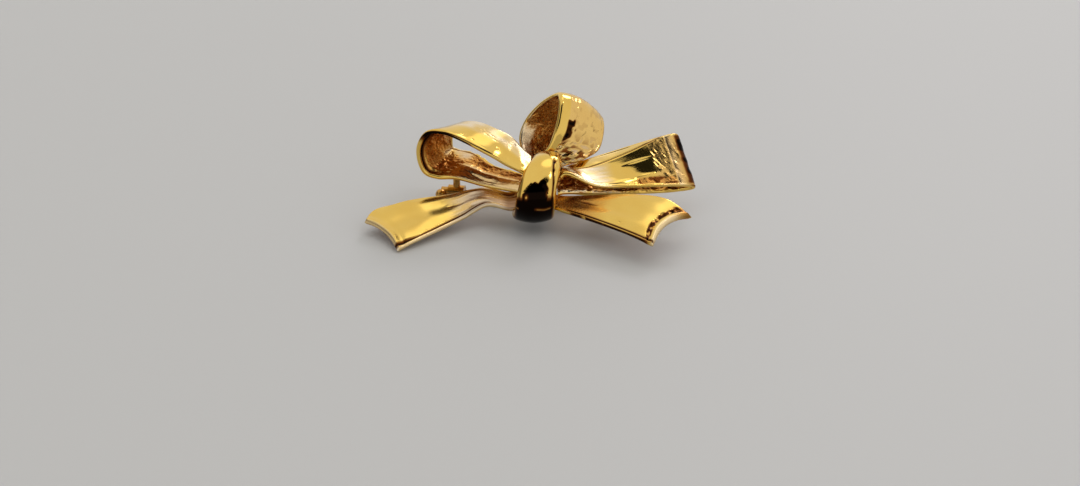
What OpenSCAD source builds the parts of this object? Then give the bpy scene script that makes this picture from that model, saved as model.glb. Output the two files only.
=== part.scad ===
// Bow brooch: three ribbon loops and two tails gathered in a domed knot, with a pin stem and a roll-over safety
// catch underneath. Millimetres. X runs along the bow, Y away from the tails, Z up from the surface it lies on.

/* [Ribbon] */
// Thickness of every ribbon
ribbon_t = 0.9; // [0.7:0.05:1.1]
// Width of a ribbon where the knot gathers it
root_w = 4.4; // [3.8:0.1:4.6]
// Clear space kept between one piece and the next
fit_gap = 0.2; // [0.1:0.05:0.3]

/* [Knot] */
// Long diameter of the knot, along the middle of its band's edges
knot_l = 10.2; // [9.8:0.2:11.4]
// Short diameter of the knot, along the middle of its band's edges
knot_h = 8.2; // [7.8:0.2:9.4]
// Width of the knot's band at its widest
knot_w = 7.4; // [7:0.2:8.4]
// Thickness of the knot's band
knot_t = 1.4; // [1:0.1:1.6]
// Height of the dome across the band
knot_bulge = 0.9; // [0.4:0.1:1]
// Lean of the knot towards the tails, in degrees
knot_lean = 25; // [15:1:30]
// Height of the knot's centre over the surface
knot_z = 7; // [6.8:0.1:8]
// Distance of the knot from the middle of the brooch, along the bow
knot_x = 1.2; // [0:0.1:3]
// Distance of the knot from the middle of the brooch, away from the tails
knot_y = 0.6; // [0:0.1:3]

/* [Left loop] */
// Length of the left loop from the knot's side to its fold
left_loop_reach = 15; // [13:0.5:19]
// Distance that its fold is set back from the knot
left_loop_set = 6.3; // [5:0.5:8]
// Height between its two layers
left_loop_rise = 7.8; // [6.5:0.25:9]
// Width of its ribbon
left_loop_w = 8.4; // [7:0.2:9.4]

/* [Right loop] */
// Length of the right loop from the knot's side to its fold
right_loop_reach = 21.9; // [18:0.5:24]
// Distance that its fold is set back from the knot
right_loop_set = 5.2; // [4:0.2:7]
// Distance between its two layers
right_loop_rise = 2.2; // [2:0.1:3]
// Width of its ribbon
right_loop_w = 10.4; // [8:0.2:11]

/* [Back loop] */
// Height of the back loop over the knot's top end of the ribbon
back_loop_rise = 7.7; // [6:0.5:10]
// Depth of the back loop from the knot to its fold
back_loop_set = 11; // [10:0.5:13]
// Width of its ribbon
back_loop_w = 9.6; // [8:0.2:10.4]

/* [Tails] */
// Length of the left tail from the knot's side
left_tail_reach = 22.4; // [18:0.5:26]
// Distance that the left tail's end comes forward
left_tail_set = 6.8; // [5:0.5:9]
// Drop of the left tail's end
left_tail_drop = 3.85; // [3:0.05:4]
// Length of the right tail from the knot's side
right_tail_reach = 18; // [15:0.5:22]
// Distance that the right tail's end comes forward
right_tail_set = 9.5; // [7:0.5:12]
// Height of the right tail's arch over its start
right_tail_arch = 1.1; // [0.6:0.1:1.6]
// Width of both tails at their ends
tail_w = 9.8; // [8:0.2:11]
// Depth of the soft folds that run along the tails
tail_fold = 0.1; // [0:0.05:0.3]
// Depth of the hollow cut at a tail's end
tail_cut = 1.4; // [0.8:0.2:2.4]

/* [Pin and catch] */
// Diameter of the pin stem
pin_d = 0.8; // [0.7:0.1:1]
// Play round the stem inside the turning sleeve and through the slots
pin_play = 0.3; // [0.2:0.05:0.4]
// Outer diameter of the catch's barrel
catch_d = 2.8; // [2.6:0.1:3.2]
// Length of the catch's barrel
catch_l = 3; // [2.6:0.2:4]
// Wall of the catch's barrel
catch_wall = 0.35; // [0.3:0.05:0.4]
// Play between the barrel and the turning sleeve
catch_play = 0.1; // [0.05:0.01:0.12]
// Diameter of the ball on the sleeve's lever
ball_d = 2; // [1.6:0.1:2.2]
// Outer diameter of the hinge at the pin's other end
hinge_d = 2.8; // [2.4:0.1:3]
// Length of the hinge along its rivet
hinge_l = 2.4; // [2:0.2:3]
// Diameter of the posts under the catch and the hinge
post_d = 1.3; // [1:0.1:1.6]
// Diameter of the round foot that joins each post to its ribbon
foot_d = 2.6; // [2:0.2:3]
// Thickness of that foot
foot_t = 0.5; // [0.4:0.1:0.8]

/* [Hidden] */
gold = "#c9992e";
old_gold = "#b5872a";

// Rings for each row of a table, and the points round each ribbon's edge and face
STEPS = 4;
EDGE_ANGLES = [45, 90];
FACE_POINTS = 7;

// Width of a ribbon where it leaves the band
mouth_w = 1.1 * root_w;

// Each gathered end has two rows, inside the band and at its mouth. They are shares of half the knot's width
// (out), half its long diameter (back) and half its short one (up), then yaw and pitch in degrees.
// Columns: out, back, up, yaw, pitch
LEFT_LOW = [[0.70, 0.24, -0.05, -12, 16], [1.35, 0.39, 0.02, -18, 18]];
LEFT_HIGH = [[0.38, 0.40, 0.70, -4, 40], [0.85, 0.50, 0.98, -6, 38]];
LEFT_TAIL = [[0.70, -0.11, -0.42, 0, 12], [1.35, -0.27, -0.55, 5, 12]];
RIGHT_LOW = [[0.90, 0.26, -0.15, 5, 17], [1.35, 0.37, -0.07, 8, 25]];
RIGHT_HIGH = [[1.02, 0.28, 0.43, 5, -8], [1.35, 0.36, 0.52, 8, -12]];
RIGHT_TAIL = [[0.70, -0.27, -0.54, 0, 3], [1.35, -0.50, -0.56, -5, 7]];

// Stations of each ribbon outside the knot, as shares of its own reach (out), set (back), rise (up) and width,
// then yaw and pitch in degrees and the dome across the ribbon as a share of its width.
// Columns: out, back, up, width, yaw, pitch, dome
LEFT_LOOP_TABLE = [
    [0.26, 0.29, 0.02, 0.63, -24, 20, 0],
    [0.53, 0.67, 0.11, 0.88, -26, 15, 0],
    [0.76, 0.89, 0.09, 1.00, -28, 16, 0],
    [0.88, 0.95, 0.19, 1.06, -36, 10, 0],
    [0.91, 0.98, 0.55, 1.09, -40, -8, 0],
    [0.84, 0.95, 0.87, 1.02, -34, -18, 0],
    [0.68, 0.84, 1.01, 0.96, -22, -11, 0.02],
    [0.46, 0.59, 1.00, 0.86, -16, 5, 0.03],
    [0.20, 0.29, 0.86, 0.74, -12, 24, 0.03],
    [0.02, 0.19, 0.69, 0.72, -9, 34, 0.02]
];
RIGHT_LOOP_TABLE = [
    [0.21, 0.23, 0.14, 0.62, 14, 34, 0],
    [0.47, 0.52, 0.27, 0.79, 20, 40, 0],
    [0.73, 0.81, 0.36, 0.91, 26, 46, 0],
    [0.92, 1.00, 0.55, 0.98, 28, 49, 0],
    [0.98, 0.94, 0.86, 1.00, 29, 50, 0],
    [0.93, 0.81, 1.14, 0.98, 28, 49, 0],
    [0.73, 0.585, 1.11, 0.87, 26, 45, 0.01],
    [0.47, 0.29, 0.99, 0.74, 20, 38, 0.02],
    [0.21, -0.01, 0.94, 0.60, 14, 28, 0.02]
];
// The back loop's columns are: side, back, up, width, yaw, pitch, dome, with side as a share of its width
BACK_LOOP_TABLE = [
    [0.10, 0.00, -0.01, 0.43, 80, 12, 0],
    [0.50, 0.12, 0.26, 0.70, 91, 19, 0],
    [0.70, 0.24, 0.46, 0.94, 99, 27, 0.02],
    [0.79, 0.40, 0.74, 1.04, 105, 33, 0.05],
    [0.81, 0.58, 0.99, 1.07, 105, 36, 0.10],
    [0.75, 0.80, 0.99, 1.04, 101, 35, 0.12],
    [0.46, 0.96, 0.68, 1.00, 95, 32, 0.06],
    [0.17, 1.00, 0.26, 0.94, 90, 29, 0],
    [0.02, 0.87, -0.10, 0.85, 88, 26, 0],
    [0.06, 0.60, -0.36, 0.69, 86, 20, 0],
    [0.08, 0.27, -0.43, 0.50, 85, 10, 0],
    [0.08, 0.00, -0.43, 0.42, 85, 8, 0]
];
// The tails have two more columns: thickness as a share of the ribbon's, and depth of fold as a share of the
// tails' own
LEFT_TAIL_TABLE = [
    [0.20, -0.24, -0.02, 0.51, 10, 13, 0, 1, 0.8],
    [0.42, -0.14, 0.42, 0.68, 22, 12, 0, 1, 1],
    [0.67, 0.16, 0.61, 0.98, 32, 10, -0.01, 1, 0.8],
    [0.90, 0.59, 0.72, 1.16, 40, 10, -0.02, 1, 0.4],
    [1.00, 0.97, 0.91, 1.00, 41, 10, -0.02, 1.3, 0]
];
RIGHT_TAIL_TABLE = [
    [0.25, 0.21, 0.50, 0.74, -18, 8, 0, 1, -1],
    [0.53, 0.46, 1.00, 0.92, -32, 16, 0.01, 1, -1],
    [0.79, 0.72, 0.97, 1.07, -42, 17, 0.02, 1, -0.5],
    [1.00, 1.00, -0.25, 1.02, -46, 11, 0.02, 1.5, 0]
];
// The knot's band goes round from behind its top, over the front, to behind its underside.
// Columns: angle in degrees, width and shift along the bow as shares of the band's widest width
KNOT_TABLE = [
    [42, 0.70, 0.23],
    [65, 0.73, 0.19],
    [90, 0.86, 0.09],
    [125, 0.91, -0.01],
    [160, 0.95, -0.06],
    [195, 0.97, -0.09],
    [230, 1.00, -0.12],
    [265, 0.86, -0.07],
    [285, 0.78, 0.00],
    [302, 0.76, 0.03]
];
// Roundness of the knot's outline: 2 is an ellipse and more is squarer
KNOT_ROUND = 2.2;

function unit(v) = v / norm(v);

// A row in millimetres and degrees is one flat list: x, y, z, width, yaw, pitch, dome, thickness, fold
function row(p, w, yaw, pitch, dome = 0, t = ribbon_t, fold = 0) =
    [p.x, p.y, p.z, w, yaw, pitch, dome, t, fold];

function blend(a, b, c, d, t) =
    0.5 * (2 * b + (c - a) * t + (2 * a - 5 * b + 4 * c - d) * t * t + (3 * b - a - 3 * c + d) * t * t * t);

function row_at(rows, s) =
    let (
        last = len(rows) - 1,
        i = max(0, min(floor(s), last - 1))
    )
    blend(rows[max(i - 1, 0)], rows[i], rows[i + 1], rows[min(i + 2, last)], s - i);

function place(r) = [r[0], r[1], r[2]];

// Direction across the ribbon, from its back edge to its front edge
function across(r) = [sin(r[4]) * cos(r[5]), -cos(r[4]) * cos(r[5]), -sin(r[5])];

function heading(rows, s) =
    let (
        last = len(rows) - 1,
        a = max(0, s - 0.1),
        b = min(last, s + 0.1)
    )
    unit(place(row_at(rows, b)) - place(row_at(rows, a)));

function facing(rows, s) = unit(cross(across(row_at(rows, s)), heading(rows, s)));

// Points round a ribbon's section: distance across as a share of half the width, and height over its middle
// as a share of half the thickness. The edges are half circles.
function section(w, t) =
    let (
        r = t / w,
        left = [for (a = EDGE_ANGLES) [-1 + r * (1 - cos(a)), sin(a)]],
        face = [for (i = [1 : FACE_POINTS]) [(1 - r) * (2 * i / (FACE_POINTS + 1) - 1), 1]],
        right = [for (i = [len(left) - 1 : -1 : 0]) [-left[i].x, left[i].y]],
        upper = concat(left, face, right)
    )
    concat([[-1, 0]], upper, [[1, 0]], [for (i = [len(upper) - 1 : -1 : 0]) [upper[i].x, -upper[i].y]]);

// One point of the ribbon: s along its rows, q = [share across, share of thickness]
function ribbon_point(rows, s, q) =
    let (
        r = row_at(rows, s),
        n = facing(rows, s)
    )
    place(r)
        + across(r) * q.x * r[3] / 2
        + n * (r[6] * (1 - q.x * q.x) + r[8] * cos(360 * q.x) + q.y * r[7] / 2);

// A ribbon swept through its rows. A cut draws the middle of its far end back towards the knot.
module ribbon(rows, cut = 0) {
    last = len(rows) - 1;
    rings = last * STEPS;
    ring = section(rows[1][3], rows[1][7]);
    n = len(ring);
    half = n / 2;
    points = [
        for (i = [0 : rings])
            for (q = section(row_at(rows, i / STEPS)[3], row_at(rows, i / STEPS)[7]))
                ribbon_point(rows, i / STEPS * (1 - cut * (1 - q.x * q.x) / last), q)
    ];
    walls = [
        for (i = [0 : rings - 1])
            for (j = [0 : n - 1])
                let (
                    k = (j + 1) % n,
                    a = i * n + j,
                    b = i * n + k
                )
                each [[a, b + n, b], [a, a + n, b + n]]
    ];
    first_cap = [
        for (j = [1 : half - 2])
            each [[j, n - j - 1, n - j], [j, j + 1, n - j - 1]]
    ];
    tips = [[0, 1, n - 1], [half - 1, half, half + 1]];
    start = concat(first_cap, tips);
    end = [for (f = start) [f[2] + rings * n, f[1] + rings * n, f[0] + rings * n]];
    polyhedron(points, concat(walls, start, end));
}

knot_centre = [knot_x, knot_y, knot_z];

// Place of a gathered end: side is -1 on the left and 1 on the right
function gathered(side, g) = knot_centre + [side * g[0] * knot_w / 2, g[1] * knot_l / 2, g[2] * knot_h / 2];
function tucked_row(side, g) = row(gathered(side, g[0]), root_w, g[0][3], g[0][4]);
function mouth_row(side, g) = row(gathered(side, g[1]), mouth_w, g[1][3], g[1][4]);

// Row of a side ribbon's table turned into millimetres. size = [reach, set, rise, width]
function arm_row(side, g, size, r) =
    row(gathered(side, g[1]) + [side * r[0] * size[0], r[1] * size[1], r[2] * size[2]],
        r[3] * size[3], r[4], r[5], r[6] * size[3], ribbon_t * (len(r) > 7 ? r[7] : 1),
        len(r) > 8 ? r[8] * tail_fold : 0);

function loop_rows(side, low, high, size, table) = concat(
    [tucked_row(side, low), mouth_row(side, low)],
    [for (r = table) arm_row(side, low, size, r)],
    [mouth_row(side, high), tucked_row(side, high)]
);

function tail_rows(side, g, size, table) = concat(
    [tucked_row(side, g), mouth_row(side, g)],
    [for (r = table) arm_row(side, g, size, r)]
);

left_loop_rows = loop_rows(-1, LEFT_LOW, LEFT_HIGH,
    [left_loop_reach, left_loop_set, left_loop_rise, left_loop_w], LEFT_LOOP_TABLE);
right_loop_rows = loop_rows(1, RIGHT_LOW, RIGHT_HIGH,
    [right_loop_reach, right_loop_set, right_loop_rise, right_loop_w], RIGHT_LOOP_TABLE);
left_tail_rows = tail_rows(-1, LEFT_TAIL,
    [left_tail_reach, -left_tail_set, -left_tail_drop, tail_w], LEFT_TAIL_TABLE);
right_tail_rows = tail_rows(1, RIGHT_TAIL,
    [right_tail_reach, -right_tail_set, right_tail_arch, tail_w], RIGHT_TAIL_TABLE);

// The back loop leaves through the open back of the knot's band. Its start, as shares of half the knot's long
// diameter and half its short one
BACK_ROOT = [0.55, 0.63];
back_loop_root = knot_centre + [0, BACK_ROOT.x * knot_l / 2, BACK_ROOT.y * knot_h / 2];
back_loop_rows = [
    for (r = BACK_LOOP_TABLE)
        row(back_loop_root + [r[0] * back_loop_w, r[1] * back_loop_set, r[2] * back_loop_rise],
            r[3] * back_loop_w, r[4], r[5], r[6] * back_loop_w)
];

function power(v, p) = sign(v) * pow(abs(v), p);
function knot_point(a, x) =
    let (
        p = knot_l / 2 * power(cos(a), 2 / KNOT_ROUND),
        q = knot_h / 2 * power(sin(a), 2 / KNOT_ROUND)
    )
    knot_centre + [x, p * cos(knot_lean) - q * sin(knot_lean), p * sin(knot_lean) + q * cos(knot_lean)];
knot_rows = [
    for (r = KNOT_TABLE)
        row(knot_point(r[0], r[2] * knot_w), r[1] * knot_w, 90, 0, -knot_bulge, knot_t)
];

// Seats of the catch and the hinge on the undersides of the loops: station along the rows, share across, and
// which face of the ribbon looks down
CATCH_STATION = 3.75;
CATCH_ACROSS = -0.35;
HINGE_STATION = 2.6;
HINGE_ACROSS = 0.1;
// How far a ribbon's underside bends away from a foot's flat face
FOOT_HOLLOW = 0.1;
function seat(rows, s, v, face) = ribbon_point(rows, s, [v, face]);
catch_seat = seat(left_loop_rows, CATCH_STATION, CATCH_ACROSS, 1);
hinge_seat = seat(right_loop_rows, HINGE_STATION, HINGE_ACROSS, -1);
catch_down = facing(left_loop_rows, CATCH_STATION);
hinge_down = -facing(right_loop_rows, HINGE_STATION);
pin_z = catch_d / 2;
catch_at = [catch_seat.x, catch_seat.y, pin_z];
hinge_at = [hinge_seat.x, hinge_seat.y, hinge_d / 2];
pin_yaw = atan2(catch_at.y - hinge_at.y, catch_at.x - hinge_at.x);
pin_span = norm(catch_at - hinge_at);

roller_d = catch_d - 2 * catch_wall - 2 * catch_play;
roller_bore = pin_d + pin_play;
slot_w = pin_d + pin_play;
// Length of the sleeve's bare collar, which the lever's ball stands on
collar_l = 0.6 * ball_d;
// Distance of the ball's middle from the sleeve's axis
ball_out = roller_d / 2 + ball_d / 8;
// Overrun of the cuts past the ends of the barrel and the sleeve
past = 1;

// Turns a shape that points along Z so that it points along a direction, and puts it at a place
module point_along(at, direction) {
    translate(at)
        rotate([0, acos(unit(direction).z), atan2(direction.y, direction.x)])
            children();
}

// Round foot against a ribbon's underside, with the post down to a height
module foot_and_post(seat_point, down, foot_point) {
    top = seat_point + down * (fit_gap + FOOT_HOLLOW);
    point_along(top, down)
        cylinder(d = foot_d, h = foot_t, $fn = 32);
    point_along(top + down * foot_t / 2, foot_point - top)
        cylinder(d = post_d, h = norm(foot_point - top) - foot_t / 2, $fn = 32);
}

module left_loop() {
    color(gold)
        ribbon(left_loop_rows);
}

module right_loop() {
    color(gold)
        ribbon(right_loop_rows);
}

module back_loop() {
    color(gold)
        ribbon(back_loop_rows);
}

module left_tail() {
    color(gold)
        ribbon(left_tail_rows, tail_cut / left_tail_reach * (len(left_tail_rows) - 1));
}

module right_tail() {
    color(gold)
        ribbon(right_tail_rows, tail_cut / right_tail_reach * (len(right_tail_rows) - 1));
}

module knot() {
    color(gold)
        ribbon(knot_rows);
}

// Frame along the pin: X points from the catch towards the hinge
module pin_frame(at) {
    translate(at)
        rotate([0, 0, pin_yaw + 180])
            children();
}

module catch_barrel() {
    color(old_gold)
        difference() {
            union() {
                pin_frame(catch_at)
                    rotate([0, 90, 0])
                        cylinder(d = catch_d, h = catch_l, center = true, $fn = 48);
                foot_and_post(catch_seat, catch_down, catch_at);
            }
            pin_frame(catch_at)
                rotate([0, 90, 0])
                    cylinder(d = roller_d + 2 * catch_play, h = catch_l + 2 * past, center = true, $fn = 48);
            pin_frame(catch_at)
                translate([0, -catch_d, 0])
                    cube([catch_l + 2 * past, 2 * catch_d, slot_w], center = true);
        }
}

module catch_roller() {
    color(gold)
        pin_frame(catch_at) {
            difference() {
                translate([-catch_l / 2 - catch_play - collar_l, 0, 0])
                    rotate([0, 90, 0])
                        cylinder(d = roller_d, h = catch_l + catch_play + collar_l, $fn = 48);
                rotate([0, 90, 0])
                    cylinder(d = roller_bore, h = catch_l + 2 * (collar_l + past), center = true, $fn = 48);
                translate([0, 0, -catch_d])
                    cube([catch_l + catch_play, slot_w, 2 * catch_d], center = true);
            }
            translate([-catch_l / 2 - 2 * catch_play - ball_d / 2, -ball_out, 0])
                sphere(d = ball_d, $fn = 32);
        }
}

module pin() {
    color(old_gold) {
        pin_frame(catch_at)
            translate([-catch_l / 2, 0, 0])
                rotate([0, 90, 0])
                    cylinder(d = pin_d, h = pin_span + catch_l / 2, $fn = 32);
        pin_frame(hinge_at)
            rotate([90, 0, 0])
                cylinder(d = hinge_d, h = hinge_l, center = true, $fn = 48);
        foot_and_post(hinge_seat, hinge_down, hinge_at);
    }
}

left_loop();
right_loop();
back_loop();
left_tail();
right_tail();
knot();
catch_barrel();
catch_roller();
pin();
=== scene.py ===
# %% [markdown]
# # A gold-plated bow brooch
#
# The real brooch is a small casting in a brass-like alloy, 59 mm wide, plated with gold. Three ribbon
# loops and two tails come out of a domed knot, and a pin with a roll-over catch sits underneath. The
# outside was polished before it was plated. The insides of the loops kept the rough skin of the mould,
# and the years have browned them.
#
# The brooch's solids are already made to size. This notebook loads them as a fixed frame, and dresses
# each ribbon in a finer skin that follows the same lines, with the rims, creases, pits and mould skin of
# the real one.

# %% Load the solids
import math
from types import SimpleNamespace

import bpy
import numpy as np
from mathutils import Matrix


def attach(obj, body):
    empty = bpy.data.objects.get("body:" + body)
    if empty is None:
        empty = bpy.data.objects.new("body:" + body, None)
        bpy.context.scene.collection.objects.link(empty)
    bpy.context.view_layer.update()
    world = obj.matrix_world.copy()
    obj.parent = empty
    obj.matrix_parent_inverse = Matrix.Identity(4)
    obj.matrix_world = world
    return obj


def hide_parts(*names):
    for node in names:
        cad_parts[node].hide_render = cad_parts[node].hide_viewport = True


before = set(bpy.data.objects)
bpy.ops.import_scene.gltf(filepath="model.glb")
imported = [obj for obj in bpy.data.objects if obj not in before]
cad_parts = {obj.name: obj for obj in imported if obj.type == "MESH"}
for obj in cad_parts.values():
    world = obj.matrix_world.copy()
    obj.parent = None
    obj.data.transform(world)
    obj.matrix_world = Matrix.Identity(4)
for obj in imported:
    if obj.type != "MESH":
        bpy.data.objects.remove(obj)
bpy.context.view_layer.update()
print("solids:", ", ".join(sorted(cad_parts)))

# %% [markdown]
# ## Colour
#
# A colour is given here as an sRGB hex value, but Blender's shaders work with linear light. One function
# turns the first into the second, so every colour below can be read in any paint program.


# %% Turn a hex colour into linear light
def colour(code):
    """An sRGB hex colour as linear red, green, blue and alpha: each channel c becomes c/12.92 below
    0.04045, and ((c + 0.055) / 1.055) to the power 2.4 above it."""
    c = np.array([int(code[i : i + 2], 16) for i in (1, 3, 5)]) / 255
    linear = np.where(c <= 0.04045, c / 12.92, ((c + 0.055) / 1.055) ** 2.4)
    return (*linear.tolist(), 1.0)


print("half-way grey #808080 gives off %.0f%% of white's light" % (100 * colour("#808080")[0]))

# %% [markdown]
# ## Camera
#
# The photograph was taken from the tails' side, 29 degrees above the table. A 50 mm lens on a sensor 36
# mm wide gives the same view from 27 cm away. Metal shows what is round it, so the angle matters more
# here than for a matt thing: a degree or two changes which lamp a fold reflects.

# %% Place the camera
MM = 0.001
CAMERA_PLACE = (1.55, -236.55, 127.02)
CAMERA_ABOVE = 29
camera_data = bpy.data.cameras.new("camera")
camera_data.lens = 50
camera_data.sensor_width = 36
camera_data.clip_start = 0.01
camera = bpy.data.objects.new("camera", camera_data)
camera.location = tuple(v * MM for v in CAMERA_PLACE)
camera.rotation_euler = (math.radians(90 - CAMERA_ABOVE), 0, 0)
bpy.context.scene.collection.objects.link(camera)
bpy.context.scene.camera = camera
print("camera %.0f mm away, looking down by %d degrees" % (math.hypot(*CAMERA_PLACE), CAMERA_ABOVE))

# %% [markdown]
# ## Nodes
#
# A material is a small network. One helper adds a node, sets its properties and fills its sockets. A
# value that is a socket of another node becomes a link, so that a network reads like a formula.


# %% Add a node
def add(tree, kind, inputs=None, **settings):
    """A new node of this kind in the tree, with its settings, and each input either set or linked."""
    made = tree.nodes.new(kind)
    for name, value in settings.items():
        setattr(made, name, value)
    for name, value in (inputs or {}).items():
        if isinstance(value, bpy.types.NodeSocket):
            tree.links.new(value, made.inputs[name])
        else:
            made.inputs[name].default_value = value
    return made


# %% [markdown]
# ## Table and light
#
# Polished metal has hardly any colour of its own: it shows the room. Jewellery is therefore photographed
# in a light tent, whose white cloth gives every face an even body tone, and black card is hung in it
# where a dark accent is wanted. Here a wide card hangs in a band above and behind the camera. Its top is
# ragged, and its right end has a notch. A small round card leans over the brooch from the right. The knot
# and the right loop mirror them as dark patches with sharp edges. The tent is dimmer at its left side, so
# that edges that turn away get a dark line, and it glows where a lamp shines through its roof. Two small
# strong lamps give the white glints, because only a lamp far brighter than the cloth can wash out the
# gold's own colour. The table is plain and pale.


# %% Build the table
TABLE_HALF, TABLE_HEIGHT = 3.0, -0.00005


def flat_sheet(name, half, height):
    """A square sheet from -half to half at one height, facing up."""
    mesh = bpy.data.meshes.new(name)
    corners = [(-half, -half, height), (half, -half, height), (half, half, height), (-half, half, height)]
    mesh.from_pydata(corners, [], [(0, 1, 2, 3)])
    sheet = bpy.data.objects.new(name, mesh)
    bpy.context.scene.collection.objects.link(sheet)
    return sheet


table_paint = bpy.data.materials.new("pale_table")
table_paint.use_nodes = True
table_shader = table_paint.node_tree.nodes["Principled BSDF"]
table_shader.inputs["Base Color"].default_value = colour("#c9c9c7")
table_shader.inputs["Roughness"].default_value = 0.6
table = flat_sheet("table", TABLE_HALF, TABLE_HEIGHT)
table.data.materials.append(table_paint)
print("table: %.0f m square" % (2 * TABLE_HALF))

# %% [markdown]
# The tent is the world's background, so its brightness depends on direction alone. A direction is a unit
# vector. Its height z and its azimuth, atan2(x, -y), say where the wide card is. Slow noise along the
# azimuth, added to the height, makes the card's top ragged. For the round card and the glow, a dot
# product gives the cosine of the angle from the middle.

# %% Measure a direction in the tent
TENT = 0.85
ROUND_CARD = (0.321, -0.383, 0.866)
GLOW = (0.203, 0.352, 0.914)
WAVE_SCALE, WAVE_HEIGHT = 3.2, 0.16
world = bpy.data.worlds.new("light_tent")
world.use_nodes = True
sky = world.node_tree
bpy.context.scene.world = world
bpy.context.scene.view_settings.view_transform = "Standard"
towards = add(sky, "ShaderNodeTexCoord").outputs["Generated"]
part = add(sky, "ShaderNodeSeparateXYZ", {"Vector": towards}).outputs
backwards = add(sky, "ShaderNodeMath", {0: part["Y"], 1: -1.0}, operation="MULTIPLY").outputs[0]
azimuth = add(sky, "ShaderNodeMath", {0: part["X"], 1: backwards}, operation="ARCTAN2").outputs[0]
stretched = add(sky, "ShaderNodeMath", {0: azimuth, 1: WAVE_SCALE}, operation="MULTIPLY").outputs[0]
waves = add(sky, "ShaderNodeTexNoise", {"W": stretched, "Scale": 1.0, "Detail": 3.0}, noise_dimensions="1D")
ragged_height = add(sky, "ShaderNodeMath", {0: waves.outputs["Fac"], 1: WAVE_HEIGHT, 2: part["Z"]},
                    operation="MULTIPLY_ADD").outputs[0]
measures = {"side": part["X"], "height": part["Z"], "azimuth": azimuth, "ragged_height": ragged_height}
for name, middle in (("to_round_card", ROUND_CARD), ("to_glow", GLOW)):
    cosine = add(sky, "ShaderNodeVectorMath", {0: towards, 1: middle}, operation="DOT_PRODUCT")
    measures[name] = cosine.outputs["Value"]
print("a direction has", len(measures), "measures")

# %% Hang the cards in the tent
# Each edge is a smooth step of one measure: where it starts and ends, and what it gives before and after
EDGES = {
    "card_left": ("azimuth", -0.86, -0.80, 0.0, 1.0),
    "card_right": ("azimuth", 0.42, 0.48, 1.0, 0.0),
    "card_foot": ("height", 0.42, 0.46, 0.0, 1.0),
    "card_top": ("ragged_height", 0.95, 0.97, 1.0, 0.0),
    "notch_left": ("azimuth", 0.36, 0.42, 0.0, 1.0),
    "notch_foot": ("height", 0.60, 0.64, 0.0, 1.0),
    "notch_top": ("height", 0.70, 0.74, 1.0, 0.0),
    "round_card": ("to_round_card", 0.986, 0.990, 0.0, 1.0),
    "dim_side": ("side", -0.88, -0.68, 0.3 * TENT, TENT),
    "glow": ("to_glow", 0.950, 0.985, 1.0, 1.8),
}
BLACK_CARD = 0.02
edge = {}
for name, (measure, start, end, before, after) in EDGES.items():
    limits = {"Value": measures[measure], "From Min": start, "From Max": end,
              "To Min": before, "To Max": after}
    edge[name] = add(sky, "ShaderNodeMapRange", limits, interpolation_type="SMOOTHSTEP").outputs["Result"]
notch = edge["notch_left"]
for name in ("notch_foot", "notch_top"):
    notch = add(sky, "ShaderNodeMath", {0: notch, 1: edge[name]}, operation="MULTIPLY").outputs[0]
card = add(sky, "ShaderNodeMath", {0: 1.0, 1: notch}, operation="SUBTRACT").outputs[0]
for name in ("card_left", "card_right", "card_foot", "card_top"):
    card = add(sky, "ShaderNodeMath", {0: card, 1: edge[name]}, operation="MULTIPLY").outputs[0]
cards = add(sky, "ShaderNodeMath", {0: card, 1: edge["round_card"]}, operation="MAXIMUM").outputs[0]
cloth = add(sky, "ShaderNodeMapRange", {"Value": cards, "To Min": 1.0, "To Max": BLACK_CARD},
            interpolation_type="SMOOTHSTEP").outputs["Result"]
for name in ("dim_side", "glow"):
    cloth = add(sky, "ShaderNodeMath", {0: cloth, 1: edge[name]}, operation="MULTIPLY").outputs[0]
sky.nodes["Background"].inputs["Color"].default_value = colour("#fffdfa")
sky.links.new(cloth, sky.nodes["Background"].inputs["Strength"])
print("the tent is made of", len(sky.nodes), "nodes")


# %% Set the lamps
LAMP_TINT = "#fbf6ff"
LAMP_AIM = (0, 0, 0.01)


def panel(name, place, size, radiance):
    """A soft rectangular lamp at a place in metres, facing the brooch. A surface of area A that shines
    evenly with a radiance L gives off pi * A * L watts."""
    data = bpy.data.lights.new(name, "AREA")
    data.shape = "RECTANGLE"
    data.size, data.size_y = size
    data.energy = math.pi * size[0] * size[1] * radiance
    data.color = colour(LAMP_TINT)[:3]
    lamp = bpy.data.objects.new(name, data)
    lamp.location = place
    x, y, z = (a - b for a, b in zip(LAMP_AIM, place))
    lamp.rotation_euler = (math.pi / 2 + math.atan2(z, math.hypot(x, y)), 0, math.atan2(y, x) - math.pi / 2)
    bpy.context.scene.collection.objects.link(lamp)
    return lamp


window = panel("window_panel", (0.27, 0.54, 0.46), (0.25, 0.17), 6.0)
side = panel("side_lamp", (0.3465, -0.10, 0.60), (0.08, 0.08), 8.0)
print("lamps: %.2f and %.2f watts" % (window.data.energy, side.data.energy))

# %% [markdown]
# ## Gold plate and mould skin
#
# The finish is a few thousandths of a millimetre of gold over polished brass. Gold absorbs blue, so what
# it mirrors turns yellow, and twice mirrored, inside a loop, orange. It is a metal, with metallic at 1
# and the default index of refraction. Polished plate has a roughness near 0.1, and its surface still
# rolls a little from the casting.
#
# Three masks from each piece's mesh steer the same material. `mould_skin` is 1 where the metal kept the
# rough skin of the mould, which is duller and grainy. The browning mask is 1 where dirt and tarnish sit
# in the roots, and also where shade and dark reflections are painted in: in grooves and creases, under
# rims and edges, on a patch of the back loop and low on the knot. The rubbed mask is 1 where wear has
# thinned the gold and the paler alloy shows through with fine scratches, and also where highlights and
# light are painted on as pale colour. The colours lie over each other like coats: plate, then the pale
# rubbed colour, mould skin, brown and soot, where the brown and soot also stand for painted shade.

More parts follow.
